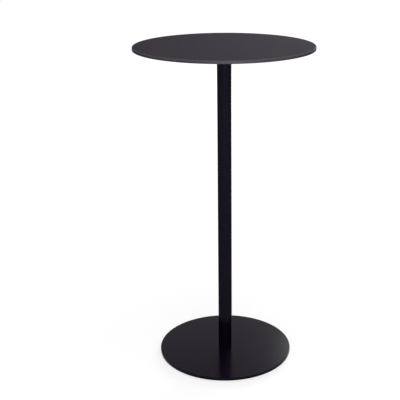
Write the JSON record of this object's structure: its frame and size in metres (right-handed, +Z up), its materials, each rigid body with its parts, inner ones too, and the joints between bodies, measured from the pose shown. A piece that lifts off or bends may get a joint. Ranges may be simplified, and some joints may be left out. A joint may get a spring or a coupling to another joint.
{
  "type": "bar table",
  "caption": "Tall bar table with a thin round black top on a slim round column and a flat round base plate, standing on screw-in levelling glides.",
  "frame": {"origin": "on the floor at the column's axis, under the middle of the base plate", "axes": "+Z up along the column; the table is round, so X and Y only point at two pairs of glides"},
  "size_m": [0.5999, 0.6, 1.11],
  "materials": {
    "top_laminate": "matte",
    "black_powder_coat": "satin",
    "black_steel": "black oxide",
    "plain_steel": "bare",
    "zinc_steel": "zinc plated",
    "brass": "turned",
    "nylon": "moulded"
  },
  "bodies": {
    "table": {"table_top": "top_laminate", "top_inserts": "brass", "top_plate": "black_powder_coat", "top_screws": "black_steel", "hub": "black_powder_coat", "column_tube": "black_powder_coat", "tie_rod": "zinc_steel", "foot_plug": "plain_steel", "base_plate": "black_powder_coat", "locating_pins": "plain_steel", "base_washer": "zinc_steel", "spring_washer": "zinc_steel", "base_nut": "zinc_steel"},
    "pad_1": {"glide_pad_1": "nylon"},
    "stud_1": {"glide_stud_1": "zinc_steel"},
    "pad_2": {"glide_pad_2": "nylon"},
    "stud_2": {"glide_stud_2": "zinc_steel"},
    "pad_3": {"glide_pad_3": "nylon"},
    "stud_3": {"glide_stud_3": "zinc_steel"},
    "pad_4": {"glide_pad_4": "nylon"},
    "stud_4": {"glide_stud_4": "zinc_steel"}
  },
  "joints": [
    {"name": "glide_1_height", "type": "slide", "parent": "table", "child": "pad_1", "axis": [0, 0, -1], "range_m": [0, 0.004]},
    {"name": "glide_1_turn", "type": "hinge", "parent": "pad_1", "child": "stud_1", "pos_m": [0.2, 0, 0.0055], "axis": [0, 0, -1], "range_deg": [0, 1152]},
    {"name": "glide_2_height", "type": "slide", "parent": "table", "child": "pad_2", "axis": [0, 0, -1], "range_m": [0, 0.004]},
    {"name": "glide_2_turn", "type": "hinge", "parent": "pad_2", "child": "stud_2", "pos_m": [0, 0.2, 0.0055], "axis": [0, 0, -1], "range_deg": [0, 1152]},
    {"name": "glide_3_height", "type": "slide", "parent": "table", "child": "pad_3", "axis": [0, 0, -1], "range_m": [0, 0.004]},
    {"name": "glide_3_turn", "type": "hinge", "parent": "pad_3", "child": "stud_3", "pos_m": [-0.2, 0, 0.0055], "axis": [0, 0, -1], "range_deg": [0, 1152]},
    {"name": "glide_4_height", "type": "slide", "parent": "table", "child": "pad_4", "axis": [0, 0, -1], "range_m": [0, 0.004]},
    {"name": "glide_4_turn", "type": "hinge", "parent": "pad_4", "child": "stud_4", "pos_m": [0, -0.2, 0.0055], "axis": [0, 0, -1], "range_deg": [0, 1152]}
  ],
  "couplings": [
    {"joint": "glide_1_turn", "follows": "glide_1_height", "rad_per_m": 5026.5},
    {"joint": "glide_2_turn", "follows": "glide_2_height", "rad_per_m": 5026.5},
    {"joint": "glide_3_turn", "follows": "glide_3_height", "rad_per_m": 5026.5},
    {"joint": "glide_4_turn", "follows": "glide_4_height", "rad_per_m": 5026.5}
  ]
}
